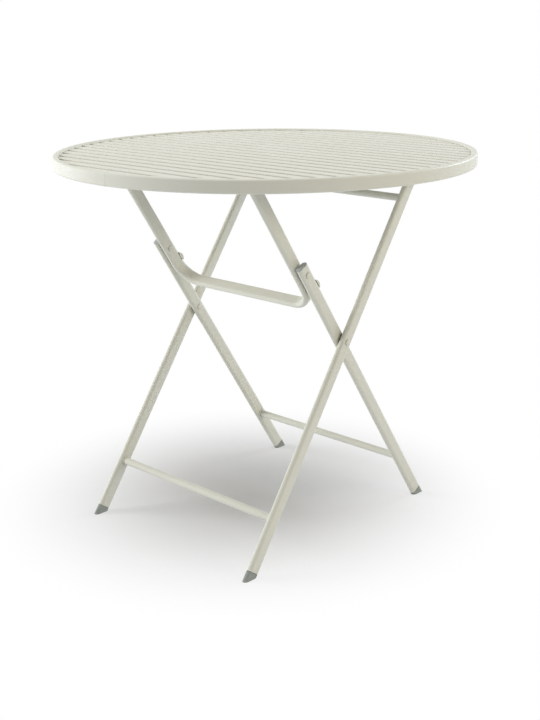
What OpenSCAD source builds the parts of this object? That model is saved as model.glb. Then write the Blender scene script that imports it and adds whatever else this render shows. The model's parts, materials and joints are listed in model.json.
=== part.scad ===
// Round folding bistro table. A slatted steel top in a rolled rim stands on a long-leg frame, a short-leg
// frame and a U-shaped bail, which lock into a scissor stand and fold flat under the top.
// Frame: +X along the slats, +Y from the long legs' feet towards the short legs' feet, +Z up.
// The origin is on the floor, under the centre of the top. Left is -X and right is +X.

/* [Tabletop] */
// Diameter over the rim
top_d = 800; // [700:5:900]
// Height of the rim's top edge above the floor
table_h = 710; // [680:1:740]
// Height of the rim's rolled tube
rim_h = 24; // [20:0.5:30]
// Width of the rim's rolled tube
rim_w = 12; // [10:0.5:18]
// Radius on the edges of the rim's tube
rim_edge_r = 3.5; // [2:0.25:4.5]
// Wall of the rim's tube
rim_wall = 1.5; // [1:0.1:1.8]
// Place of the weld that closes the rim, turned from +X
seam_angle = -88; // [-180:1:180]
// Width of the weld that closes the rim
seam_w = 2; // [1:0.5:5]
// How far the weld bead stands out of the rim
seam_proud = 0.15; // [0.05:0.05:0.5]

/* [Slats] */
// Width of one slat
slat_w = 23.7; // [18:0.1:27]
// Gap between two slats
slat_gap = 7.5; // [5:0.5:12]
// Height of the folded channel that makes a slat
slat_h = 8; // [6:0.5:12]
// Sheet thickness of the slats
slat_wall = 1; // [0.8:0.1:1.5]
// Outside radius along a slat's folded edges
slat_edge_r = 1.8; // [1.6:0.1:2.5]
// Depth of the slats' top faces below the rim's top edge
slat_sink = 3; // [1:0.5:5]
// Gap that the welds fill between the rim and the pieces cut to it
weld_gap = 0.2; // [0.1:0.05:0.3]

/* [Underframe] */
// Width of the flat bars that carry the slats
bearer_w = 15; // [12:0.5:16]
// Thickness of the flat bars that carry the slats
bearer_h = 5; // [4:0.5:6]
// Sheet thickness of the hinge brackets
ear_t = 3; // [2:0.25:3.5]
// Outside radius of a bracket's ear around its pin
ear_r = 10; // [8:0.5:12]
// Length of a bracket's flange along the bearer
flange_len = 34; // [26:1:50]
// Gap between a bracket's ear and the tube that it carries
ear_gap = 0.5; // [0.3:0.1:0.8]

/* [Legs] */
// Distance from the centre of the top to the long legs' upper pivots, on the +Y side
long_pivot_y = 205.5; // [190:0.5:215]
// Distance from the centre of the top to the long legs' feet, on the -Y side
long_foot_y = 263; // [240:1:290]
// Distance from the centre of the top to the bail's upper pivots, on the -Y side
bail_pivot_y = 209; // [195:0.5:220]
// Distance from the centre of the top to the short legs' feet, on the +Y side
short_foot_y = 234.5; // [215:0.5:260]
// Distance from the centre to the long legs' centre lines, across the table
long_x = 206.5; // [190:0.5:225]
// Wide side of the flat-oval tubes
tube_w = 25; // [22:0.5:28]
// Thickness of the flat-oval tubes
tube_t = 12; // [11:0.5:14]
// Wall of the flat-oval tubes
tube_wall = 1.2; // [1:0.1:1.8]
// Gap between the long and the short legs, filled by the crossing washer
cross_gap = 2.5; // [2.3:0.1:4]
// Length of tube beyond the centre of an upper pivot
end_over = 10; // [8:0.5:12]
// Gap between the slats and the tube ends that turn under them
swing_gap = 1; // [0.6:0.1:3]
// Diameter of the round crossbars
bar_d = 14; // [12:0.5:16]
// Wall of the round crossbars
bar_wall = 1.2; // [1:0.1:1.8]
// Height of the long legs' lower crossbar
long_bar_z = 90; // [70:1:120]
// Distance from the long legs' upper pivots to their upper crossbar, down the leg
long_top_bar_s = 76.5; // [60:0.5:95]
// Height of the short legs' crossbar
short_bar_z = 95; // [70:1:120]

/* [Bail] */
// Length from the bail's upper pivot to the elbow pivot
bail_arm = 203.9; // [200:0.1:208]
// Length from the elbow pivot to the middle of the bail's cross tube
bail_drop = 80; // [70:1:95]
// Bend radius of the bail, at the middle of its tube
bail_bend_r = 45; // [35:1:60]
// Gap between the short legs and the bail, filled by the elbow bush
elbow_gap = 6; // [5.5:0.1:8]
// Length of the short legs beyond the elbow pivot
short_over = 18.5; // [16:0.5:22]
// Length along the leg of the half-round stop pins that lie across the bail and the short legs
stop_len = 19; // [15:0.5:22]
// Height to which the stop pins rise over their flat undersides
stop_h = 4.5; // [3.5:0.5:5.5]
// Distance from the elbow pivot to the stop pins, down the leg
stop_drop = 32; // [28:1:36]
// Depth to which the stop pins' welds run down the bail's edge
stop_weld = 2.5; // [1.5:0.25:4]
// Gap between the stop pins and the short legs
stop_gap = 0.3; // [0.2:0.1:0.6]
// How far the stop pins end before the short legs' outer faces
stop_back = 2; // [0.5:0.5:4]

/* [Pivots] */
// Diameter of the hinge pins and rivets
pin_d = 6; // [5:0.5:8]
// Running gap between a pin and its bore, on the radius
run_gap = 0.05; // [0.03:0.01:0.08]
// Diameter of the pins' domed heads
head_d = 11; // [9.5:0.5:14]
// Rise of a head's domed crown over the wall around it
head_crown = 0.7; // [0.4:0.1:0.9]
// Height of the domed heads
head_h = 2; // [1.5:0.1:3]
// Height of the flat heads that pass between two tubes
low_head_h = 1.5; // [1:0.1:1.8]
// End play between a moving tube and the head that holds it
end_play = 0.25; // [0.15:0.05:0.35]
// Outside diameter of the elbow bushes and the crossing washers
bush_d = 15; // [13:0.5:20]

/* [Plastic caps] */
// Length along the leg from the floor to the end of the tube
foot_len = 13; // [11:0.5:20]
// Width of the joint groove around the top of a foot
groove_w = 1; // [0.6:0.1:1.5]
// Depth of the joint groove around the top of a foot
groove_h = 0.6; // [0.3:0.1:0.8]
// Thickness of the upper end caps
cap_t = 1.5; // [1:0.1:2]
// Rise of an upper end cap's crown over its ends
cap_crown = 0.6; // [0.3:0.1:0.8]
// Length of the caps' plugs inside the tubes
plug_len = 18; // [10:1:25]
// Length of the short plugs that end before a pivot
short_plug_len = 5; // [3:0.5:5]
// Gap between a plug and the inside of its tube
plug_gap = 0.1; // [0.05:0.05:0.2]

/* [Hidden] */
$fn = 96;
// Facets of large circles, on the rim and on the caps' crowns
rim_fn = 360;

powder_coat = "#d6d3c4";
grey_plastic = "#7a7e77";
eps = 0.5;

// Heights of the top
rim_z = table_h - rim_h;
slat_top_z = table_h - slat_sink;
slat_z = slat_top_z - slat_h;
bearer_z = slat_z - bearer_h;
rim_in_r = top_d / 2 - rim_w;
cut_r = rim_in_r - weld_gap;
slat_pitch = slat_w + slat_gap;
slat_count = floor((2 * rim_in_r + slat_gap) / slat_pitch);
seam_turn = seam_w / (top_d / 2) * 180 / PI;

// The tube ends turn under the slats, so the pivots hang lower by their corner's reach
end_reach = norm([tube_w / 2, end_over + cap_t]);
pivot_z = slat_z - swing_gap - end_reach;

// Lean of the two leg frames from the vertical, and their length from the pivot height to the floor
long_lean = atan((long_pivot_y + long_foot_y) / pivot_z);
short_lean = atan((bail_pivot_y + short_foot_y) / pivot_z);
long_len = pivot_z / cos(long_lean);
short_len = pivot_z / cos(short_lean);

// Height at which the legs cross, and the crossing's distance down each frame
cross_z = (long_foot_y + short_foot_y) / (tan(long_lean) + tan(short_lean));
long_cross_s = (pivot_z - cross_z) / cos(long_lean);
short_cross_s = (pivot_z - cross_z) / cos(short_lean);
bail_s = bail_arm + bail_drop;

// Places across the table, from the outside in
short_x = long_x - tube_t - cross_gap;
bail_x = short_x - tube_t - elbow_gap;
long_out = long_x + tube_t / 2;
long_in = long_x - tube_t / 2;
short_out = short_x + tube_t / 2;
short_in = short_x - tube_t / 2;
bail_out = bail_x + tube_t / 2;
bail_in = bail_x - tube_t / 2;
bearer_x = (bail_out + long_in) / 2;
bore_d = pin_d + 2 * run_gap;

function slat_name(i) = str("slat_", i < 10 ? "0" : "", i);

// The long-leg frame's own axes: X across, Y down the leg from its upper pivot
module in_long_frame() {
    translate([0, long_pivot_y, pivot_z])
        rotate([-90 - long_lean, 0, 0])
            children();
}

// The axes that the bail and the short-leg frame share: X across, Y down from the bail's pivot
module in_short_frame() {
    translate([0, -bail_pivot_y, pivot_z])
        rotate([short_lean - 90, 0, 0])
            children();
}

// A piece drawn for the right side, turned over to the left where side is -1
module on_side(side) {
    mirror([side < 0 ? 1 : 0, 0, 0])
        children();
}

module on_both_sides() {
    for (side = [-1, 1])
        on_side(side)
            children();
}

// Rectangle with four round corners, centred
module rounded_section(w, h, r) {
    square([w - 2 * r, h], center = true);
    square([w, h - 2 * r], center = true);
    for (x = [-1, 1], y = [-1, 1])
        translate([x * (w / 2 - r), y * (h / 2 - r)])
            circle(r = r);
}

// Flat-oval section, its wide side along Y
module oval_section(w, t) {
    square([t, w - t], center = true);
    for (end = [-1, 1])
        translate([0, end * (w - t) / 2])
            circle(d = t);
}

// Solid flat-oval run along Y between two distances
module oval_run(from, to, w, t) {
    translate([0, from, 0])
        rotate([-90, 0, 0])
            linear_extrude(to - from)
                oval_section(w, t);
}

// Flat-oval tube along Y
module oval_tube(from, to) {
    difference() {
        oval_run(from, to, tube_w, tube_t);
        oval_run(from - eps, to + eps, tube_w - 2 * tube_wall, tube_t - 2 * tube_wall);
    }
}

// Plug that fills a flat-oval tube along Y
module oval_plug(from, to) {
    inset = 2 * (tube_wall + plug_gap);
    oval_run(from, to, tube_w - inset, tube_t - inset);
}

// Round rod along X between two places
module rod_x(from, to, d) {
    translate([from, 0, 0])
        rotate([0, 90, 0])
            cylinder(d = d, h = to - from);
}

// Radius of the circle whose arc rises by a height over a chord
function arc_r(chord, rise) = (chord * chord / 4 + rise * rise) / (2 * rise);

// Head along X that stands on a place and points out or in: a short wall under a domed crown
module dome_x(place, out, d, h) {
    ball_r = arc_r(d, head_crown);
    translate([place, 0, 0])
        rotate([0, out * 90, 0])
            intersection() {
                cylinder(d = d, h = h);
                translate([0, 0, h - ball_r])
                    sphere(r = ball_r);
            }
}

// Half-round bar along X that rises over its flat underside
module half_round_x(from, to, len, rise) {
    round_r = arc_r(len, rise);
    intersection() {
        translate([0, 0, rise - round_r])
            rod_x(from, to, 2 * round_r);
        translate([from, -len / 2, 0])
            cube([to - from, len, rise]);
    }
}

// Round crossbar between the two tubes of a frame
module crossbar(half_span) {
    difference() {
        rod_x(-half_span, half_span, bar_d);
        rod_x(-half_span - eps, half_span + eps, bar_d - 2 * bar_wall);
    }
}

// Section of the rim's tube, grown by a margin
module rim_section(grow) {
    translate([top_d / 2 - rim_w / 2, rim_z + rim_h / 2])
        rounded_section(rim_w + 2 * grow, rim_h + 2 * grow, rim_edge_r + grow);
}

// Rim rolled from one tube, open where its ends meet at the weld
module rim_tube() {
    color(powder_coat)
        rotate([0, 0, seam_angle + seam_turn / 2])
            rotate_extrude(angle = 360 - seam_turn, $fn = rim_fn)
                difference() {
                    rim_section(0);
                    rim_section(-rim_wall);
                }
}

// Weld that closes the rim, ground nearly flush
module rim_weld() {
    color(powder_coat)
        rotate([0, 0, seam_angle - seam_turn / 2])
            rotate_extrude(angle = seam_turn, $fn = rim_fn)
                rim_section(seam_proud);
}

// Channel folded from sheet, open below, its top edges rounded
module slat_section() {
    difference() {
        union() {
            translate([-slat_w / 2, 0])
                square([slat_w, slat_h - slat_edge_r]);
            translate([-slat_w / 2 + slat_edge_r, 0])
                square([slat_w - 2 * slat_edge_r, slat_h]);
            for (side = [-1, 1])
                translate([side * (slat_w / 2 - slat_edge_r), slat_h - slat_edge_r])
                    circle(r = slat_edge_r);
        }
        translate([-slat_w / 2 + slat_wall, -eps])
            square([slat_w - 2 * slat_wall, slat_h - slat_wall + eps]);
    }
}

// One slat, its ends cut to the inside of the rim. Slat 1 lies at the -Y edge.
module slat(i) {
    y = (i - (slat_count + 1) / 2) * slat_pitch;
    color(powder_coat)
        intersection() {
            translate([-rim_in_r, y, slat_z])
                rotate([90, 0, 90])
                    linear_extrude(2 * rim_in_r)
                        slat_section();
            translate([0, 0, slat_z - eps])
                cylinder(r = cut_r, h = slat_h + 2 * eps, $fn = rim_fn);
        }
}

// Flat bar under the slats, its ends cut to the inside of the rim
module bearer(side) {
    color(powder_coat)
        on_side(side)
            intersection() {
                translate([bearer_x - bearer_w / 2, -rim_in_r, bearer_z])
                    cube([bearer_w, 2 * rim_in_r, bearer_h]);
                translate([0, 0, bearer_z - eps])
                    cylinder(r = cut_r, h = bearer_h + 2 * eps, $fn = rim_fn);
            }
}

// Hinge bracket for the right side: a flange under the bearer and an ear around the pin
module bracket(ear_from, flange_from, flange_to) {
    difference() {
        union() {
            translate([flange_from, -flange_len / 2, bearer_z - pivot_z - ear_t])
                cube([flange_to - flange_from, flange_len, ear_t]);
            translate([ear_from, -ear_r, 0])
                cube([ear_t, 2 * ear_r, bearer_z - pivot_z]);
            rod_x(ear_from, ear_from + ear_t, 2 * ear_r);
        }
        rod_x(ear_from - eps, ear_from + ear_t + eps, bore_d);
    }
}

// Bracket beside a long leg's inner face
module long_bracket(side) {
    ear_from = long_in - ear_gap - ear_t;
    color(powder_coat)
        on_side(side)
            translate([0, long_pivot_y, pivot_z])
                bracket(ear_from, bearer_x - bearer_w / 2, ear_from + ear_t);
}

// Bracket beside the bail's outer face
module bail_bracket(side) {
    ear_from = bail_out + ear_gap;
    color(powder_coat)
        on_side(side)
            translate([0, -bail_pivot_y, pivot_z])
                bracket(ear_from, ear_from, bearer_x + bearer_w / 2);
}

// Pins of the long legs, headed outside the leg and riveted inside the bracket
module long_pivot_pins() {
    ear_in = long_in - ear_gap - ear_t;
    color(powder_coat)
        on_both_sides()
            translate([0, long_pivot_y, pivot_z]) {
                rod_x(ear_in, long_out + end_play, pin_d);
                dome_x(long_out + end_play, 1, head_d, head_h);
                dome_x(ear_in, -1, head_d, low_head_h);
            }
}

// Pins of the bail, headed inside the bail and riveted outside the bracket
module bail_pivot_pins() {
    ear_out = bail_out + ear_gap + ear_t;
    color(powder_coat)
        on_both_sides()
            translate([0, -bail_pivot_y, pivot_z]) {
                rod_x(bail_in - end_play, ear_out, pin_d);
                dome_x(bail_in - end_play, -1, head_d, head_h);
                dome_x(ear_out, 1, head_d, low_head_h);
            }
}

// Long leg: outermost tube, drilled for its upper pivot and for the crossing
module long_leg(side) {
    color(powder_coat)
        in_long_frame()
            on_side(side)
                difference() {
                    translate([long_x, 0, 0])
                        oval_tube(-end_over, long_len - foot_len);
                    for (s = [0, long_cross_s])
                        translate([0, s, 0])
                            rod_x(long_in - eps, long_out + eps, bore_d);
                }
}

// Crossbar of the long legs at a distance down the frame
module long_bar(s) {
    color(powder_coat)
        in_long_frame()
            translate([0, s, 0])
                crossbar(long_in);
}

module long_upper_bar() {
    long_bar(long_top_bar_s);
}

module long_lower_bar() {
    long_bar((pivot_z - long_bar_z) / cos(long_lean));
}

// Room below the floor, taken off the feet
module below_floor() {
    translate([-top_d / 2, -top_d / 2, -top_d])
        cube([top_d, top_d, top_d]);
}

// Foot at the end of a tube: a plug, a joint groove and a wedge that is cut level with the floor
module foot(x, len) {
    top_s = len - foot_len;
    translate([x, 0, 0]) {
        oval_plug(top_s - plug_len, top_s);
        oval_run(top_s, top_s + groove_w, tube_w - 2 * groove_h, tube_t - 2 * groove_h);
        oval_run(top_s + groove_w, len + tube_w, tube_w, tube_t);
    }
}

module long_foot(side) {
    color(grey_plastic)
        difference() {
            in_long_frame()
                foot(side * long_x, long_len);
            below_floor();
        }
}

// Crowned cap on the upper end of a tube that ends at a distance down the frame
module end_cap(x, end_s, plug) {
    crown_r = arc_r(tube_w, cap_crown);
    translate([x, 0, 0]) {
        intersection() {
            oval_run(end_s - cap_t, end_s, tube_w, tube_t);
            translate([0, end_s - cap_t + crown_r, 0])
                rod_x(-tube_t, tube_t, 2 * crown_r, $fn = rim_fn);
        }
        oval_plug(end_s, end_s + plug);
    }
}

module long_end_caps() {
    color(grey_plastic)
        in_long_frame()
            on_both_sides()
                end_cap(long_x, -end_over, short_plug_len);
}

// Outer half of the crossing pivot: a headed rivet through the long leg and its washer
module crossing_rivets() {
    color(powder_coat)
        in_long_frame()
            translate([0, long_cross_s, 0])
                on_both_sides() {
                    rod_x(short_out + end_play, long_out, pin_d);
                    dome_x(long_out, 1, head_d, head_h);
                }
}

// Washers that keep the long and the short legs apart
module crossing_washers() {
    color(grey_plastic)
        in_long_frame()
            translate([0, long_cross_s, 0])
                on_both_sides()
                    difference() {
                        rod_x(short_out + end_play, long_in, bush_d);
                        rod_x(short_out, long_in + eps, bore_d);
                    }
}

// Inner half of the crossing pivot: a headed stud in the short leg
module crossing_studs() {
    color(powder_coat)
        in_short_frame()
            translate([0, short_cross_s, 0])
                on_both_sides() {
                    rod_x(short_in, short_out, pin_d);
                    dome_x(short_in, -1, head_d, low_head_h);
                }
}

// Path of the bail in the short frame: two arms, two bends and the cross tube
module bail_path(w, t, over) {
    straight = bail_s - bail_bend_r;
    half_cross = bail_x - bail_bend_r;
    on_both_sides() {
        translate([bail_x, 0, 0])
            oval_run(-over, straight, w, t);
        translate([half_cross, straight, 0])
            rotate_extrude(angle = 90)
                translate([bail_bend_r, 0])
                    oval_section(w, t);
    }
    translate([-half_cross, bail_s, 0])
        rotate([0, 90, 0])
            linear_extrude(2 * half_cross)
                rotate(90)
                    oval_section(w, t);
}

// Bail bent from one tube, drilled for its upper pivots and for the elbows
module bail_tube() {
    color(powder_coat)
        in_short_frame()
            difference() {
                bail_path(tube_w, tube_t, end_over);
                bail_path(tube_w - 2 * tube_wall, tube_t - 2 * tube_wall, end_over + eps);
                for (s = [0, bail_arm])
                    translate([0, s, 0])
                        on_both_sides()
                            rod_x(bail_in - eps, bail_out + eps, bore_d);
            }
}

module bail_end_caps() {
    color(grey_plastic)
        in_short_frame()
            on_both_sides()
                end_cap(bail_x, -end_over, short_plug_len);
}

// Half-round stop pin across the bail's edge and the short leg, with the weld that seats it on the bail
module stop_pin(side) {
    color(powder_coat)
        in_short_frame()
            difference() {
                on_side(side)
                    translate([0, bail_arm + stop_drop, tube_w / 2 + stop_gap]) {
                        half_round_x(bail_in, short_out - stop_back, stop_len, stop_h);
                        mirror([0, 0, 1])
                            half_round_x(bail_in, bail_out, stop_len, stop_gap + stop_weld);
                    }
                bail_path(tube_w, tube_t, end_over);
            }
}

// Pins of the elbows, fixed in the bail, with low heads outside the short legs
module elbow_pins() {
    color(powder_coat)
        in_short_frame()
            translate([0, bail_arm, 0])
                on_both_sides() {
                    rod_x(bail_in, short_out + end_play, pin_d);
                    dome_x(short_out + end_play, 1, head_d, low_head_h);
                    dome_x(bail_in, -1, head_d, head_h);
                }
}

// Bushes that keep the bail and the short legs apart
module elbow_bushes() {
    color(grey_plastic)
        in_short_frame()
            translate([0, bail_arm, 0])
                on_both_sides()
                    difference() {
                        rod_x(bail_out, short_in - end_play, bush_d);
                        rod_x(bail_out - eps, short_in, bore_d);
                    }
}

// Short leg: tube between the long leg and the bail, drilled for the elbow and the crossing
module short_leg(side) {
    color(powder_coat)
        in_short_frame()
            on_side(side)
                difference() {
                    translate([short_x, 0, 0])
                        oval_tube(bail_arm - short_over, short_len - foot_len);
                    for (s = [bail_arm, short_cross_s])
                        translate([0, s, 0])
                            rod_x(short_in - eps, short_out + eps, bore_d);
                }
}

module short_lower_bar() {
    color(powder_coat)
        in_short_frame()
            translate([0, (pivot_z - short_bar_z) / cos(short_lean), 0])
                crossbar(short_in);
}

module short_foot(side) {
    color(grey_plastic)
        difference() {
            in_short_frame()
                foot(side * short_x, short_len);
            below_floor();
        }
}

module short_end_cap(side) {
    color(grey_plastic)
        in_short_frame()
            end_cap(side * short_x, bail_arm - short_over, short_plug_len);
}

rim_tube();
rim_weld();
for (i = [1:slat_count])
    slat(i);
bearer(-1);  // bearer_left
bearer(1);  // bearer_right
long_bracket(-1);  // long_bracket_left
long_bracket(1);  // long_bracket_right
bail_bracket(-1);  // bail_bracket_left
bail_bracket(1);  // bail_bracket_right
long_pivot_pins();
bail_pivot_pins();
long_leg(-1);  // long_leg_left
long_leg(1);  // long_leg_right
long_upper_bar();
long_lower_bar();
long_foot(-1);  // long_foot_left
long_foot(1);  // long_foot_right
long_end_caps();
crossing_rivets();
crossing_washers();
bail_tube();
bail_end_caps();
stop_pin(-1);  // stop_pin_left
stop_pin(1);  // stop_pin_right
elbow_pins();
elbow_bushes();
short_leg(-1);  // short_leg_left
short_leg(1);  // short_leg_right
short_lower_bar();
short_foot(-1);  // short_foot_left
short_foot(1);  // short_foot_right
short_end_cap(-1);  // short_end_cap_left
short_end_cap(1);  // short_end_cap_right
crossing_studs();
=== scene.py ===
"""Looks of a round folding bistro table: powder-coated steel, painted rivets and moulded grey feet.

Lengths are metres in the table's own frame: +X along the slats, +Y from the long legs' feet towards the
short legs' feet, +Z up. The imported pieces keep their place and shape. Welds are added where they meet.
"""

import json
import logging
import math
from collections.abc import Callable, Iterable, Mapping, Sequence
from dataclasses import dataclass
from enum import Enum
from typing import Any

import bmesh
import bpy
from mathutils import Matrix, Vector


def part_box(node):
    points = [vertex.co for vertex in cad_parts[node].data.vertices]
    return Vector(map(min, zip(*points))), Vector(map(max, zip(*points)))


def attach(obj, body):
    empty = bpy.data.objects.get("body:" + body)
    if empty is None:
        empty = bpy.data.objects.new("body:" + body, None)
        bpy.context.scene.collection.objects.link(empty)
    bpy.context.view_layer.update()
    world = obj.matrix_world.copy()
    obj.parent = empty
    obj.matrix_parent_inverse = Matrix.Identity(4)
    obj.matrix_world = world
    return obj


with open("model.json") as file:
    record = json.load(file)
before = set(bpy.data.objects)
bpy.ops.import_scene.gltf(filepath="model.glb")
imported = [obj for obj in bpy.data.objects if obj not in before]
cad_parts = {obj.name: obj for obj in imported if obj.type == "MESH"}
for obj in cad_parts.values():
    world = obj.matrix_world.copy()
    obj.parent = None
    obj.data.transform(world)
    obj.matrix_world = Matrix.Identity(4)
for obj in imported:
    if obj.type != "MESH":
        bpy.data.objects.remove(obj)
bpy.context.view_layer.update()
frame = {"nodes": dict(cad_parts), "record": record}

LOG = logging.getLogger("bistro_table")
MM = 0.001
PHOTO_H = 720
SENSOR_MM = 36.0
# A colour mix's inputs and its result, by their numbers on the node
MIX_SHARE, MIX_FIRST, MIX_SECOND = 0, 6, 7
MIX_RESULT = 2
# A range node's inputs, in the order in which its values are given
MAP_RANGE = ("From Min", "From Max", "To Min", "To Max")
# The values between which most of a noise texture lies
NOISE_SPAN = (0.3, 0.7)
# Rays for each look at a corner or an edge
CORNER_SAMPLES = 6
EDGE_SAMPLES = 4
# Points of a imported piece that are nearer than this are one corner
SPLIT_POINTS = 0.002 * MM
# Edges that turn by more than this are rounded, in this many steps
SHARP_EDGE_DEG = 40
ROUND_SEGMENTS = 2

Colour = tuple[float, float, float, float]
Socket = bpy.types.NodeSocket
# Gives the point at a share of a path, from 0 to 1
Path = Callable[[float], Vector]


class Body(Enum):
    """The table's moving bodies, by their names in the frame."""

    TABLETOP = "tabletop"
    LONG_FRAME = "long_frame"
    BAIL = "bail"
    SHORT_FRAME = "short_frame"


class Slot(Enum):
    """The record's material slots."""

    POWDER_COAT = "powder_coat"
    PAINTED_PINS = "painted_pins"
    GREY_PLASTIC = "grey_plastic"


class Side(Enum):
    """The two sides of the table, with the sign of their X."""

    LEFT = -1
    RIGHT = 1


def linear(hex_colour: str) -> Colour:
    """Turn an sRGB hex colour into linear light.

    Args:
        hex_colour: A colour such as "#d0cab6".

    Returns:
        Red, green, blue and an alpha of 1.
    """
    channels = [int(hex_colour[i : i + 2], 16) / 255 for i in (1, 3, 5)]
    # The curve that the sRGB standard gives
    red, green, blue = (c / 12.92 if c <= 0.04045 else ((c + 0.055) / 1.055) ** 2.4 for c in channels)
    return red, green, blue, 1.0


def add_node(
    tree: bpy.types.NodeTree,
    kind: str,
    settings: Mapping[str | int, Any] | None = None,
    links: Mapping[str | int, Socket] | None = None,
) -> bpy.types.Node:
    """Add one shader node.

    Args:
        tree: The material's or world's node tree.
        kind: The node's type, such as "ShaderNodeTexNoise".
        settings: Values by property name, or by an input's name or number.
        links: Output sockets that feed the inputs, by the input's name or number.

    Returns:
        The new node.
    """
    node = tree.nodes.new(kind)
    for key, value in (settings or {}).items():
        if isinstance(key, str) and hasattr(node, key):
            setattr(node, key, value)
        else:
            node.inputs[key].default_value = value
    for key, socket in (links or {}).items():
        tree.links.new(socket, node.inputs[key])
    return node


def direction(azimuth: float, rise: float) -> Vector:
    """Give the unit vector that leaves the table at an azimuth and a rise.

    Args:
        azimuth: Degrees from -Y, towards +X.
        rise: Degrees above the horizontal.

    Returns:
        The direction, away from the table.
    """
    turn, up = math.radians(azimuth), math.radians(rise)
    return Vector((math.sin(turn) * math.cos(up), -math.cos(turn) * math.cos(up), math.sin(up)))


def per_metre(size_mm: float) -> float:
    """Give the texture scale at which a pattern repeats about every size_mm millimetres."""
    return 1 / (size_mm * MM)


def new_material(name: str) -> tuple[bpy.types.Material, bpy.types.NodeTree, bpy.types.Node]:
    """Make an empty node material.

    Args:
        name: The material's name.

    Returns:
        The material, its node tree and its output node.
    """
    material = bpy.data.materials.new(name)
    material.use_nodes = True
    tree = material.node_tree
    tree.nodes.clear()
    return material, tree, add_node(tree, "ShaderNodeOutputMaterial")


def corner_mask(
    tree: bpy.types.NodeTree, reach_mm: float, opening: tuple[float, float], share: float
) -> Socket:
    """Find inside corners and joints, to darken them with painted shade.

    Args:
        tree: The material's node tree.
        reach_mm: How far away another surface still closes a corner in.
        opening: The open shares of the sky at which the mask starts and is full.
        share: The mask's value where it is full.

    Returns:
        A socket that is 0 in the open and up to share in corners.
    """
    open_sky = add_node(
        tree, "ShaderNodeAmbientOcclusion", {"samples": CORNER_SAMPLES, "Distance": reach_mm * MM}
    )
    mask = add_node(
        tree,
        "ShaderNodeMapRange",
        dict(zip(MAP_RANGE, (*opening, 0.0, share))),
        {"Value": open_sky.outputs["AO"]},
    )
    return mask.outputs["Result"]


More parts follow.
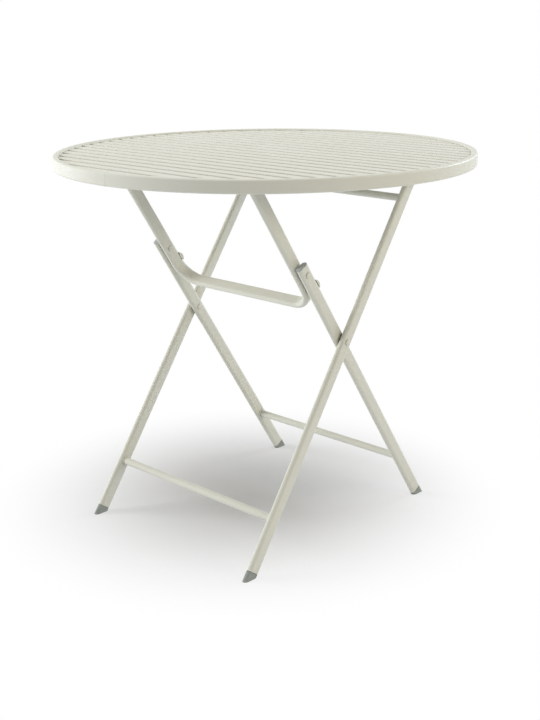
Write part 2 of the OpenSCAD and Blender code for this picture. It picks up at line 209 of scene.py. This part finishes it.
@dataclass(frozen=True)
class PowderCoat:
    """Polyester powder, sprayed dry on steel and baked, in a satin cream.

    It gives the eye an even, slightly warm colour, a broad soft highlight, a faint orange peel, and a coat
    that runs thin and a little darker on sharp edges. Inside corners, joints and the rims of rivet heads
    carry painted shade.
    """

    name: str
    colour: str = "#cdccbf"
    shade: str = "#c7c5b5"
    # On the steel a thinner, darker coat on sharp edges; on a rivet, painted shade round its head
    thin_coat_and_shade_edge: str = "#bdb6a3"
    edge_share: float = 0.35
    corner_shade: str = "#9a917c"
    corner_share: float = 0.5
    roughness: tuple[float, float] = (0.4, 0.5)
    ior: float = 1.5
    cloud_mm: float = 140.0
    cloud_detail: float = 3.0
    film_mm: float = 26.0
    film_detail: float = 4.0
    # Orange peel is about 1.5 mm across on the real coat, drawn at twice that so that it shows
    peel_mm: float = 3.0
    peel_detail: float = 1.0
    peel_roughness: float = 0.4
    peel_height_mm: float = 0.02
    # Less than the tube's wall, so that the far side of the wall doesn't count as an edge
    edge_mm: float = 0.9
    # The cosines between the true and the rounded normal at which an edge starts and is full
    edge_agreement: tuple[float, float] = (0.99, 0.82)
    # The corner and contact masks paint shade into inside corners, joints and round rivet heads
    corner_mm: float = 9.0
    corner_opening: tuple[float, float] = (0.75, 0.2)
    contact_mm: float = 2.5
    contact_opening: tuple[float, float] = (0.9, 0.5)
    contact_share: float = 0.5

    def make(self) -> bpy.types.Material:
        """Build the node material and return it."""
        material, tree, output = new_material(self.name)
        place = add_node(tree, "ShaderNodeTexCoord").outputs["Object"]
        cloud = add_node(
            tree,
            "ShaderNodeTexNoise",
            {"Scale": per_metre(self.cloud_mm), "Detail": self.cloud_detail},
            {"Vector": place},
        )
        film = add_node(
            tree,
            "ShaderNodeTexNoise",
            {"Scale": per_metre(self.film_mm), "Detail": self.film_detail},
            {"Vector": place},
        )
        tone = add_node(
            tree,
            "ShaderNodeMix",
            {"data_type": "RGBA", MIX_FIRST: linear(self.colour), MIX_SECOND: linear(self.shade)},
            {MIX_SHARE: cloud.outputs["Fac"]},
        )
        # Sharp edges: a thinner coat on the steel, painted shade on a rivet's head
        edge = self._edge_mask(tree)
        edge_toned = add_node(
            tree,
            "ShaderNodeMix",
            {"data_type": "RGBA", MIX_SECOND: linear(self.thin_coat_and_shade_edge)},
            {MIX_SHARE: edge, MIX_FIRST: tone.outputs[MIX_RESULT]},
        )
        # Painted shade in inside corners and, closer in, round rivet heads and joints
        corner = corner_mask(tree, self.corner_mm, self.corner_opening, self.corner_share)
        contact = corner_mask(tree, self.contact_mm, self.contact_opening, self.contact_share)
        deepest = add_node(tree, "ShaderNodeMath", {"operation": "MAXIMUM"}, {0: corner, 1: contact})
        finished = add_node(
            tree,
            "ShaderNodeMix",
            {"data_type": "RGBA", MIX_SECOND: linear(self.corner_shade)},
            {MIX_SHARE: deepest.outputs["Value"], MIX_FIRST: edge_toned.outputs[MIX_RESULT]},
        )
        gloss = add_node(
            tree,
            "ShaderNodeMapRange",
            dict(zip(MAP_RANGE, NOISE_SPAN + self.roughness)),
            {"Value": film.outputs["Fac"]},
        )
        peel = add_node(
            tree,
            "ShaderNodeTexNoise",
            {"Scale": per_metre(self.peel_mm), "Detail": self.peel_detail, "Roughness": self.peel_roughness},
            {"Vector": place},
        )
        bump = add_node(
            tree,
            "ShaderNodeBump",
            {"Strength": 1.0, "Distance": self.peel_height_mm * MM},
            {"Height": peel.outputs["Fac"]},
        )
        shader = add_node(
            tree,
            "ShaderNodeBsdfPrincipled",
            {"IOR": self.ior},
            {
                "Base Color": finished.outputs[MIX_RESULT],
                "Roughness": gloss.outputs["Result"],
                "Normal": bump.outputs["Normal"],
            },
        )
        tree.links.new(shader.outputs["BSDF"], output.inputs["Surface"])
        return material

    def _edge_mask(self, tree: bpy.types.NodeTree) -> Socket:
        """Find sharp edges, where the coat runs thin, and on a rivet's head, where the darker edge is
        painted shade.

        Args:
            tree: The material's node tree.

        Returns:
            A socket that is 0 on flat faces and up to edge_share on edges.
        """
        true_normal = add_node(tree, "ShaderNodeNewGeometry").outputs["Normal"]
        rounded = add_node(tree, "ShaderNodeBevel", {"samples": EDGE_SAMPLES, "Radius": self.edge_mm * MM})
        agree = add_node(
            tree,
            "ShaderNodeVectorMath",
            {"operation": "DOT_PRODUCT"},
            {0: rounded.outputs["Normal"], 1: true_normal},
        )
        mask = add_node(
            tree,
            "ShaderNodeMapRange",
            dict(zip(MAP_RANGE, (*self.edge_agreement, 0.0, self.edge_share))),
            {"Value": agree.outputs["Value"]},
        )
        return mask.outputs["Result"]


@dataclass(frozen=True)
class MouldedPlastic:
    """Polypropylene, injection-moulded in a spark-eroded tool, in a mid grey.

    It gives the eye a matt, faintly grainy grey that is scuffed paler where it stands on the floor, with
    painted shade in its joints.
    """

    name: str
    colour: str = "#8f938c"
    shade: str = "#81857e"
    scuff: str = "#a6a8a0"
    scuff_share: float = 0.5
    scuff_top_mm: float = 5.0
    roughness: tuple[float, float] = (0.46, 0.6)
    ior: float = 1.49
    cloud_mm: float = 9.0
    cloud_detail: float = 3.0
    # The tool's grain is about 0.3 mm, drawn four times as coarse so that it shows
    grain_mm: float = 1.2
    grain_detail: float = 2.0
    grain_height_mm: float = 0.03
    # Painted shade in the joint groove under a leg's end and in other corners
    joint_shade: str = "#4a4d49"
    joint_mm: float = 2.0
    joint_opening: tuple[float, float] = (0.85, 0.4)
    joint_share: float = 0.7

    def make(self) -> bpy.types.Material:
        """Build the node material and return it."""
        material, tree, output = new_material(self.name)
        place = add_node(tree, "ShaderNodeTexCoord").outputs["Object"]
        cloud = add_node(
            tree,
            "ShaderNodeTexNoise",
            {"Scale": per_metre(self.cloud_mm), "Detail": self.cloud_detail},
            {"Vector": place},
        )
        tone = add_node(
            tree,
            "ShaderNodeMix",
            {"data_type": "RGBA", MIX_FIRST: linear(self.colour), MIX_SECOND: linear(self.shade)},
            {MIX_SHARE: cloud.outputs["Fac"]},
        )
        height = add_node(tree, "ShaderNodeSeparateXYZ", None, {"Vector": place}).outputs["Z"]
        low = add_node(
            tree,
            "ShaderNodeMapRange",
            dict(zip(MAP_RANGE, (self.scuff_top_mm * MM, 0.0, 0.0, self.scuff_share))),
            {"Value": height},
        )
        patchy = add_node(
            tree,
            "ShaderNodeMath",
            {"operation": "MULTIPLY"},
            {0: low.outputs["Result"], 1: cloud.outputs["Fac"]},
        )
        scuffed = add_node(
            tree,
            "ShaderNodeMix",
            {"data_type": "RGBA", MIX_SECOND: linear(self.scuff)},
            {MIX_SHARE: patchy.outputs["Value"], MIX_FIRST: tone.outputs[MIX_RESULT]},
        )
        # Painted shade in the joint groove and other corners
        joint = corner_mask(tree, self.joint_mm, self.joint_opening, self.joint_share)
        finished = add_node(
            tree,
            "ShaderNodeMix",
            {"data_type": "RGBA", MIX_SECOND: linear(self.joint_shade)},
            {MIX_SHARE: joint, MIX_FIRST: scuffed.outputs[MIX_RESULT]},
        )
        gloss = add_node(
            tree,
            "ShaderNodeMapRange",
            dict(zip(MAP_RANGE, NOISE_SPAN + self.roughness)),
            {"Value": cloud.outputs["Fac"]},
        )
        grain = add_node(
            tree,
            "ShaderNodeTexNoise",
            {"Scale": per_metre(self.grain_mm), "Detail": self.grain_detail},
            {"Vector": place},
        )
        bump = add_node(
            tree,
            "ShaderNodeBump",
            {"Strength": 1.0, "Distance": self.grain_height_mm * MM},
            {"Height": grain.outputs["Fac"]},
        )
        shader = add_node(
            tree,
            "ShaderNodeBsdfPrincipled",
            {"IOR": self.ior},
            {
                "Base Color": finished.outputs[MIX_RESULT],
                "Roughness": gloss.outputs["Result"],
                "Normal": bump.outputs["Normal"],
            },
        )
        tree.links.new(shader.outputs["BSDF"], output.inputs["Surface"])
        return material


@dataclass(frozen=True)
class Finish:
    """A finished material and the record's slot that it belongs to."""

    material: bpy.types.Material
    slot: Slot


@dataclass
class Finishes:
    """The table's finishes, made once and shared by its sub-assemblies."""

    steel: Finish
    slat: Finish
    rivet: Finish
    weld: Finish
    plastic: Finish
    cap: Finish

    @classmethod
    def make(cls) -> "Finishes":
        """Build every finish and return the set."""
        steel = PowderCoat("powder_coated_steel_satin")
        # The gaps between slats are deep and narrow, so their walls get painted shade that darkens from the
        # top edge down
        slat = PowderCoat(
            "powder_coated_slat",
            corner_share=0.8,
            corner_mm=14.0,
            corner_opening=(0.97, 0.45),
            contact_share=0.45,
        )
        # A rivet is solid, so an edge on it may reach further than on a tube's thin wall. Its dark edge is
        # painted shade round the head.
        rivet = PowderCoat(
            "powder_coated_rivet", thin_coat_and_shade_edge="#8f8975", edge_share=0.75, edge_mm=2.0, corner_mm=3.0
        )
        weld = PowderCoat("powder_coated_weld", colour="#dcd9cc", corner_mm=4.0)
        plastic = MouldedPlastic("moulded_grey_polypropylene")
        # The end caps are the feet's grey plastic; their paler colour is painted light
        cap = MouldedPlastic("moulded_grey_cap_painted_light", colour="#b0b3af", shade="#a4a7a2")
        return cls(
            steel=Finish(steel.make(), Slot.POWDER_COAT),
            slat=Finish(slat.make(), Slot.POWDER_COAT),
            rivet=Finish(rivet.make(), Slot.PAINTED_PINS),
            weld=Finish(weld.make(), Slot.POWDER_COAT),
            plastic=Finish(plastic.make(), Slot.GREY_PLASTIC),
            cap=Finish(cap.make(), Slot.GREY_PLASTIC),
        )


@dataclass(frozen=True)
class WeldBead:
    """A weld bead: a round run that swells at each puddle, as a row of coins pushed over does.

    Its swell is taken about its mean, its open ends taper to end_share of its radius, and round a crossbar
    it lies sunk_share of its radius into the joint.
    """

    radius: float = 1.6 * MM
    puddle: float = 1.9 * MM
    swell: float = 0.16
    swell_mean: float = 0.6
    end_share: float = 0.25
    end_power: float = 0.4
    sunk_share: float = 1 / 3
    rings_per_puddle: int = 4
    sides: int = 10
    least_puddles: int = 2
    # A path that rises by more than this for its length takes any direction across it as its first
    steep: float = 0.9
    path_step: float = 1e-3

    def run(self, mesh: bmesh.types.BMesh, path: Path, length: float, closed: bool) -> None:
        """Sweep one bead along a path.

        Args:
            mesh: The mesh that takes the bead.
            path: Gives the bead's centre for a share of the path from 0 to 1.
            length: The path's length.
            closed: Whether the path's end meets its start.
        """
        puddles = max(self.least_puddles, round(length / self.puddle))
        count = puddles * self.rings_per_puddle
        steps = count if closed else count + 1
        rings = [self._ring(mesh, path, i / count, puddles, closed) for i in range(steps)]
        pairs = zip(rings, rings[1:] + rings[:1]) if closed else zip(rings, rings[1:])
        for near, far in pairs:
            for k in range(self.sides):
                after = (k + 1) % self.sides
                mesh.faces.new((near[k], near[after], far[after], far[k]))
        if not closed:
            mesh.faces.new(list(reversed(rings[0])))
            mesh.faces.new(rings[-1])

    def _ring(
        self, mesh: bmesh.types.BMesh, path: Path, share: float, puddles: int, closed: bool
    ) -> list[bmesh.types.BMVert]:
        """Add the ring of points round the path at one share of it.

        Args:
            mesh: The mesh that takes the points.
            path: Gives the bead's centre for a share of the path.
            share: The place along the path, from 0 to 1.
            puddles: How many puddles the bead has.
            closed: Whether the bead closes on itself, so that its ends don't taper.

        Returns:
            The ring's points, in order.
        """
        along = (path(share + self.path_step) - path(share - self.path_step)).normalized()
        across = along.orthogonal() if abs(along.z) > self.steep else along.cross(Vector((0, 0, 1)))
        across.normalize()
        over = across.cross(along)
        ripple = 1 + self.swell * (abs(math.sin(math.pi * share * puddles)) - self.swell_mean)
        rise = math.sin(math.pi * min(max(share, 0.0), 1.0)) ** self.end_power
        taper = 1.0 if closed else max(self.end_share, rise)
        radius = self.radius * ripple * taper
        centre = path(share)
        turns = [2 * math.pi * k / self.sides for k in range(self.sides)]
        return [mesh.verts.new(centre + (across * math.cos(t) + over * math.sin(t)) * radius) for t in turns]


def straight(start: Vector, end: Vector) -> Path:
    """Give the straight path from start to end, as a function of the share of it."""
    return lambda share: start.lerp(end, share)


def ring_about_x(centre: Vector, radius: float) -> Path:
    """Give the closed path round a bar that lies along X, as a function of the share of it."""

    def path(share: float) -> Vector:
        """Give the point at a share of one turn."""
        turn = 2 * math.pi * share
        return centre + Vector((0, math.cos(turn), math.sin(turn))) * radius

    return path


@dataclass
class SubAssembly:
    """One body of the table: its packed and added pieces, its finishes and the rounds of its edges."""

    body: Body
    finishes: Finishes
    edge: float = 0.35 * MM
    head_round: float = 0.25 * MM
    moulding: float = 0.8 * MM
    cap_round: float = 0.5 * MM

    def pieces(self) -> list[str]:
        """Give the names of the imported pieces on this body."""
        return frame["record"]["behaviour"]["bodies"][self.body.value]

    def dress(self, names: Iterable[str], finish: Finish, edge: float = 0.0) -> None:
        """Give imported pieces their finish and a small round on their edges.

        Args:
            names: The pieces' node names.
            finish: The pieces' finish.
            edge: The radius of the edges' round, or 0 where the piece's own form is already round.
        """
        for name in names:
            piece = frame["nodes"][name]
            piece.data.materials.clear()
            piece.data.materials.append(finish.material)
            if edge > 0:
                soften(piece, edge)
            LOG.info("dressed %s with %s", name, finish.material.name)

    def add(self, name: str, mesh: bmesh.types.BMesh, finish: Finish) -> None:
        """Add a new piece that moves with the body.

        Args:
            name: The piece's name.
            mesh: Its mesh, in the table's frame.
            finish: The piece's finish.
        """
        bmesh.ops.recalc_face_normals(mesh, faces=mesh.faces)
        data = bpy.data.meshes.new(name)
        mesh.to_mesh(data)
        mesh.free()
        data.materials.append(finish.material)
        data.polygons.foreach_set("use_smooth", [True] * len(data.polygons))
        piece = bpy.data.objects.new(name, data)
        bpy.context.scene.collection.objects.link(piece)
        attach(piece, self.body.value)
        LOG.info("added %s on %s, %d faces", name, self.body.value, len(data.polygons))

    def bar_welds(self, name: str, bars: Sequence[str]) -> None:
        """Add the weld round each end of each crossbar.

        Args:
            name: The name of the piece that holds the welds.
            bars: The crossbars' node names.
        """
        bead = WeldBead()
        sunk = bead.radius * bead.sunk_share
        mesh = bmesh.new()
        for bar in bars:
            low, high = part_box(bar)
            radius = (high.z - low.z) / 2 + sunk
            middle = (low + high) / 2
            for side in Side:
                end = middle.copy()
                end.x = (high.x if side is Side.RIGHT else low.x) - side.value * sunk
                bead.run(mesh, ring_about_x(end, radius), 2 * math.pi * radius, closed=True)
        self.add(name, mesh, self.finishes.weld)


def soften(piece: bpy.types.Object, edge: float) -> None:
    """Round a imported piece's edges by modifiers, which leave its mesh as it is.

    Args:
        piece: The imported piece.
        edge: The radius of the round.
    """
    join = piece.modifiers.new("join_split_points", "WELD")
    join.merge_threshold = SPLIT_POINTS
    round_edge = piece.modifiers.new("edge_round", "BEVEL")
    round_edge.width = edge
    round_edge.segments = ROUND_SEGMENTS
    round_edge.limit_method = "ANGLE"
    round_edge.angle_limit = math.radians(SHARP_EDGE_DEG)
    round_edge.use_clamp_overlap = True
    round_edge.harden_normals = True


@dataclass
class Tabletop(SubAssembly):
    """The rim, the slats, the bearers under them, and the hinge brackets with their pins."""

    tack: WeldBead = WeldBead(radius=1.3 * MM, puddle=1.6 * MM, sides=8)
    tack_len: float = 6 * MM
    bearer_tack_len: float = 10 * MM

    def build(self) -> None:
        """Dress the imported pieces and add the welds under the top."""
        slats = self._named("slat_")
        bearers = self._named("bearer_")
        brackets = self._named("bracket_")
        self.dress(["rim_tube"], self.finishes.steel)
        self.dress(["rim_weld"], self.finishes.weld)
        self.dress(slats, self.finishes.slat, self.edge)
        self.dress([*bearers, *brackets], self.finishes.steel, self.edge)
        self.dress(self._named("_pins"), self.finishes.rivet, self.head_round)
        reach = max(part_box(name)[1].x for name in slats)
        self._slat_end_welds(slats, reach)
        self._slat_tacks(slats, bearers)
        self._bearer_end_welds(bearers, reach)
        self._bracket_welds(brackets)

    def _named(self, part: str) -> list[str]:
        """Give the pieces whose names hold a part of a name."""
        return [name for name in self.pieces() if part in name]

    def _slat_end_welds(self, slats: Sequence[str], reach: float) -> None:
        """Tack each slat's two walls to the rim, on the underside.

        Args:
            slats: The slats' node names.
            reach: The radius to which the slats are cut.
        """
        mesh = bmesh.new()
        half = self.tack_len / 2 / reach
        for name in slats:
            low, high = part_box(name)
            for wall_y in (low.y, high.y):
                if abs(wall_y) > reach - self.tack_len:
                    continue
                for side in Side:
                    mid = math.atan2(wall_y, side.value * math.sqrt(reach**2 - wall_y**2))
                    path = self._along_rim(reach, mid - half, mid + half, low.z)
                    self.tack.run(mesh, path, self.tack_len, closed=False)
        self.add("slat_end_welds", mesh, self.finishes.weld)

    def _slat_tacks(self, slats: Sequence[str], bearers: Sequence[str]) -> None:
        """Tack each slat that reaches the bearers to their top faces, beside one of its walls.

        Args:
            slats: The slats' node names.
            bearers: The bearers' node names.
        """
        mesh = bmesh.new()
        for bearer in bearers:
            bar_low, bar_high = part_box(bearer)
            mid_x = (bar_low.x + bar_high.x) / 2
            for name in slats:
                low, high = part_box(name)
                if high.x < abs(mid_x) + self.bearer_tack_len:
                    continue
                start = Vector((mid_x - self.bearer_tack_len / 2, high.y, bar_high.z))
                end = Vector((mid_x + self.bearer_tack_len / 2, high.y, bar_high.z))
                self.tack.run(mesh, straight(start, end), self.bearer_tack_len, closed=False)
        self.add("slat_tacks", mesh, self.finishes.weld)

    def _bearer_end_welds(self, bearers: Sequence[str], reach: float) -> None:
        """Weld both ends of each bearer to the rim, along their lower edges.

        Args:
            bearers: The bearers' node names.
            reach: The radius to which the bearers are cut.
        """
        mesh = bmesh.new()
        for name in bearers:
            low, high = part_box(name)
            for end in (-1, 1):
                turns = [math.atan2(end * math.sqrt(reach**2 - x**2), x) for x in (low.x, high.x)]
                path = self._along_rim(reach, turns[0], turns[1], low.z)
                self.tack.run(mesh, path, high.x - low.x, closed=False)
        self.add("bearer_end_welds", mesh, self.finishes.weld)

    @staticmethod
    def _along_rim(radius: float, start: float, end: float, z: float) -> Path:
        """Give a path along the rim's inner wall.

        Args:
            radius: The wall's radius.
            start: The first angle from the X axis.
            end: The last angle.
            z: The height.

        Returns:
            The path as a function of the share of it.
        """

        def path(share: float) -> Vector:
            """Give the point at a share of the arc."""
            turn = start + (end - start) * share
            return Vector((radius * math.cos(turn), radius * math.sin(turn), z))

        return path

    def _bracket_welds(self, brackets: Sequence[str]) -> None:
        """Weld both ends of each bracket's flange to its bearer.

        Args:
            brackets: The brackets' node names.
        """
        mesh = bmesh.new()
        for name in brackets:
            low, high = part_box(name)
            for y in (low.y, high.y):
                start, end = Vector((low.x, y, high.z)), Vector((high.x, y, high.z))
                self.tack.run(mesh, straight(start, end), high.x - low.x, closed=False)
        self.add("bracket_welds", mesh, self.finishes.weld)


@dataclass
class LongFrame(SubAssembly):
    """The long legs with their two crossbars, feet, end caps and crossing rivets."""

    def build(self) -> None:
        """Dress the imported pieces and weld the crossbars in."""
        bars = ["long_upper_bar", "long_lower_bar"]
        self.dress(["long_leg_left", "long_leg_right", *bars], self.finishes.steel)
        self.dress(["crossing_rivets"], self.finishes.rivet, self.head_round)
        self.dress(["long_foot_left", "long_foot_right"], self.finishes.plastic, self.moulding)
        self.dress(["long_end_caps"], self.finishes.cap, self.cap_round)
        self.dress(["crossing_washers"], self.finishes.plastic, self.edge)
        self.bar_welds("long_bar_welds", bars)


@dataclass
class Bail(SubAssembly):
    """The bent bail with its end caps, stop pins, elbow pins and bushes."""

    stop_round: float = 0.6 * MM

    def build(self) -> None:
        """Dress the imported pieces."""
        self.dress(["bail_tube"], self.finishes.steel)
        self.dress(["stop_pin_left", "stop_pin_right"], self.finishes.steel, self.stop_round)
        self.dress(["elbow_pins"], self.finishes.rivet, self.head_round)
        self.dress(["bail_end_caps"], self.finishes.cap, self.cap_round)
        self.dress(["elbow_bushes"], self.finishes.plastic, self.edge)


@dataclass
class ShortFrame(SubAssembly):
    """The short legs with their crossbar, feet, end caps and crossing studs."""

    def build(self) -> None:
        """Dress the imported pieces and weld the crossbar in."""
        self.dress(["short_leg_left", "short_leg_right", "short_lower_bar"], self.finishes.steel)
        self.dress(["crossing_studs"], self.finishes.rivet, self.head_round)
        self.dress(["short_foot_left", "short_foot_right"], self.finishes.plastic, self.moulding)
        self.dress(["short_end_cap_left", "short_end_cap_right"], self.finishes.cap, self.cap_round)
        self.bar_welds("short_bar_welds", ["short_lower_bar"])


@dataclass(frozen=True)
class SoftBox:
    """One rectangular studio light, aimed at the table.

    Its azimuth is measured as the camera's is: 0 stands in front of -Y and 90 at the +X end. Its rise is
    the angle above the point that it aims at, and its reach is the distance to that point. One that isn't
    glossy shows no mirror image of itself.
    """

    name: str
    azimuth: float
    rise: float
    size: tuple[float, float]
    watts: float
    colour: str
    reach: float = 4.5
    aim_height: float = 0.45
    glossy: bool = True

    def hang(self) -> None:
        """Make the lamp and point it."""
        lamp = bpy.data.lights.new(self.name, "AREA")
        lamp.shape = "RECTANGLE"
        lamp.size, lamp.size_y = self.size
        lamp.energy = self.watts
        lamp.color = linear(self.colour)[:3]
        box = bpy.data.objects.new(self.name, lamp)
        away = direction(self.azimuth, self.rise)
        box.location = Vector((0, 0, self.aim_height)) + away * self.reach
        box.rotation_mode = "QUATERNION"
        box.rotation_quaternion = away.to_track_quat("Z", "Y")
        box.visible_camera = False
        box.visible_glossy = self.glossy
        bpy.context.scene.collection.objects.link(box)


@dataclass
class Studio:
    """A pale floor that fades to white, a soft white surround, and soft boxes above and at both sides.

    The floor has one colour as it lights the table and a darker one where it is seen: painted shade that
    deepens the table's real shadow. It fades to white between shade_middle and white_from metres away, so
    the painted shade lies in a round patch about shade_middle. A strength of 1 is white.
    """

    floor_half: float = 30.0
    floor_cells: int = 8
    floor_colour: str = "#f1f3f6"
    # The colour seen on the floor: painted shade that deepens the table's real shadow
    painted_shade_floor: str = "#bcbab6"
    shade_middle: tuple[float, float, float] = (-0.067, 0.005, 0.0)
    white_from: float = 0.54
    white_strength: float = 1.0
    surround_light: str = "#a0a0a0"
    surround_shown: str = "#ffffff"

    def build(self) -> None:
        """Lay the floor, light the scene and set how colours are shown."""
        self._lay_floor()
        self._surround()
        for box in self._lights():
            box.hang()
        bpy.context.scene.view_settings.view_transform = "Standard"

    @staticmethod
    def _lights() -> list[SoftBox]:
        """Give the soft boxes: one above, two at the viewer's left, and two at the right and behind it."""
        ceiling, side, edge = (3.0, 3.0), (2.2, 1.2), (2.4, 0.9)
        return [
            SoftBox(
                "overhead_box", 44.0, 81.0, ceiling, watts=76.0, colour="#f5f9ff", reach=3.8, aim_height=0.7
            ),
            # Its mirror image would bleach the top in a view from across the table
            SoftBox("left_box", -52.0, 18.0, side, watts=165.0, colour="#fafbff", glossy=False),
            SoftBox("left_edge_box", -76.0, 2.0, edge, watts=24.0, colour="#d8e3ff"),
            SoftBox("right_box", 104.0, 18.0, side, watts=54.0, colour="#fff2da"),
            SoftBox("right_edge_box", 164.0, 18.0, side, watts=98.0, colour="#dcebff"),
        ]

    def _lay_floor(self) -> None:
        """Make the floor: pale paper that keeps the table's real shadow, seen darker as painted shade, and
        fades to white away from it.
        """
        material, tree, output = new_material("pale_paper_floor")
        seen = seen_rays(tree)
        # Where it is seen, the paper is darker: painted shade that deepens the table's real shadow
        tint = add_node(
            tree,
            "ShaderNodeMix",
            {
                "data_type": "RGBA",
                MIX_FIRST: linear(self.floor_colour),
                MIX_SECOND: linear(self.painted_shade_floor),
            },
            {MIX_SHARE: seen},
        )
        paper = add_node(tree, "ShaderNodeBsdfDiffuse", None, {"Color": tint.outputs[MIX_RESULT]})
        white = add_node(tree, "ShaderNodeEmission", {"Strength": self.white_strength})
        place = add_node(tree, "ShaderNodeTexCoord").outputs["Object"]
        away = add_node(
            tree, "ShaderNodeVectorMath", {"operation": "DISTANCE", 1: self.shade_middle}, {0: place}
        )
        fade = add_node(
            tree,
            "ShaderNodeMapRange",
            {"interpolation_type": "SMOOTHSTEP", "From Max": self.white_from},
            {"Value": away.outputs["Value"]},
        )
        share = add_node(
            tree,
            "ShaderNodeMath",
            {"operation": "MULTIPLY"},
            {0: fade.outputs["Result"], 1: seen},
        )
        both = add_node(
            tree,
            "ShaderNodeMixShader",
            None,
            {0: share.outputs["Value"], 1: paper.outputs["BSDF"], 2: white.outputs["Emission"]},
        )
        tree.links.new(both.outputs["Shader"], output.inputs["Surface"])
        # The white only shows and lights nothing, so no ray is spent on it as a lamp
        material.cycles.emission_sampling = "NONE"
        mesh = bmesh.new()
        bmesh.ops.create_grid(
            mesh, x_segments=self.floor_cells, y_segments=self.floor_cells, size=self.floor_half
        )
        data = bpy.data.meshes.new("floor")
        mesh.to_mesh(data)
        mesh.free()
        data.materials.append(material)
        floor = bpy.data.objects.new("floor", data)
        bpy.context.scene.collection.objects.link(floor)

    def _surround(self) -> None:
        """Make the surround: white where it is seen, and a soft even light."""
        world = bpy.data.worlds.new("white_surround")
        world.use_nodes = True
        tree = world.node_tree
        tree.nodes.clear()
        tint = add_node(
            tree,
            "ShaderNodeMix",
            {
                "data_type": "RGBA",
                MIX_FIRST: linear(self.surround_light),
                MIX_SECOND: linear(self.surround_shown),
            },
            {MIX_SHARE: seen_rays(tree)},
        )
        light = add_node(tree, "ShaderNodeBackground", None, {"Color": tint.outputs[MIX_RESULT]})
        add_node(tree, "ShaderNodeOutputWorld", None, {"Surface": light.outputs["Background"]})
        # The surround's light is even, so no ray has to be aimed at a brighter part of it
        world.cycles.sampling_method = "NONE"
        bpy.context.scene.world = world


def seen_rays(tree: bpy.types.NodeTree) -> Socket:
    """Tell rays that show a surface from rays that light one.

    Args:
        tree: The node tree that asks.

    Returns:
        A socket that is 1 for camera, glossy and transmission rays and 0 for the rest.
    """
    rays = add_node(tree, "ShaderNodeLightPath").outputs
    mirror = add_node(
        tree,
        "ShaderNodeMath",
        {"operation": "MAXIMUM"},
        {0: rays["Is Glossy Ray"], 1: rays["Is Transmission Ray"]},
    )
    seen = add_node(
        tree,
        "ShaderNodeMath",
        {"operation": "MAXIMUM"},
        {0: rays["Is Camera Ray"], 1: mirror.outputs["Value"]},
    )
    return seen.outputs["Value"]


@dataclass(frozen=True)
class PhotoCamera:
    """The camera at the photograph's angle, in degrees, metres and the photograph's pixels."""

    azimuth: float = 44.02
    elevation: float = 9.99
    distance: float = 2.2884
    focal_px: float = 1188.1
    aim_right: float = 0.0082
    aim_height: float = 0.5812
    roll: float = -0.59
    # The row of the camera's axis, no further up, so that other views keep the table in the picture
    axis_y_px: float = 216.0

    def place(self) -> None:
        """Make the camera and set it as the scene's."""
        turn, roll = math.radians(self.azimuth), math.radians(self.roll)
        back = direction(self.azimuth, self.elevation)
        level = Vector((math.cos(turn), math.sin(turn), 0))
        upright = back.cross(level)
        right = level * math.cos(roll) + upright * math.sin(roll)
        up = upright * math.cos(roll) - level * math.sin(roll)
        where = Vector((0, 0, self.aim_height)) + level * self.aim_right + back * self.distance
        lens = bpy.data.cameras.new("photo_camera")
        lens.sensor_width = SENSOR_MM
        lens.lens = self.focal_px * SENSOR_MM / PHOTO_H
        lens.shift_y = (self.axis_y_px - PHOTO_H / 2) / PHOTO_H
        camera = bpy.data.objects.new("photo_camera", lens)
        camera.matrix_world = Matrix.Translation(where) @ Matrix((right, up, back)).transposed().to_4x4()
        bpy.context.scene.collection.objects.link(camera)
        bpy.context.scene.camera = camera


def main() -> None:
    """Set the camera and the studio, then build and dress each body of the table."""
    logging.basicConfig(level=logging.INFO, format="%(name)s: %(message)s")
    PhotoCamera().place()
    Studio().build()
    finishes = Finishes.make()
    for assembly in (
        Tabletop(Body.TABLETOP, finishes),
        LongFrame(Body.LONG_FRAME, finishes),
        Bail(Body.BAIL, finishes),
        ShortFrame(Body.SHORT_FRAME, finishes),
    ):
        assembly.build()


if __name__ == "__main__":
    main()
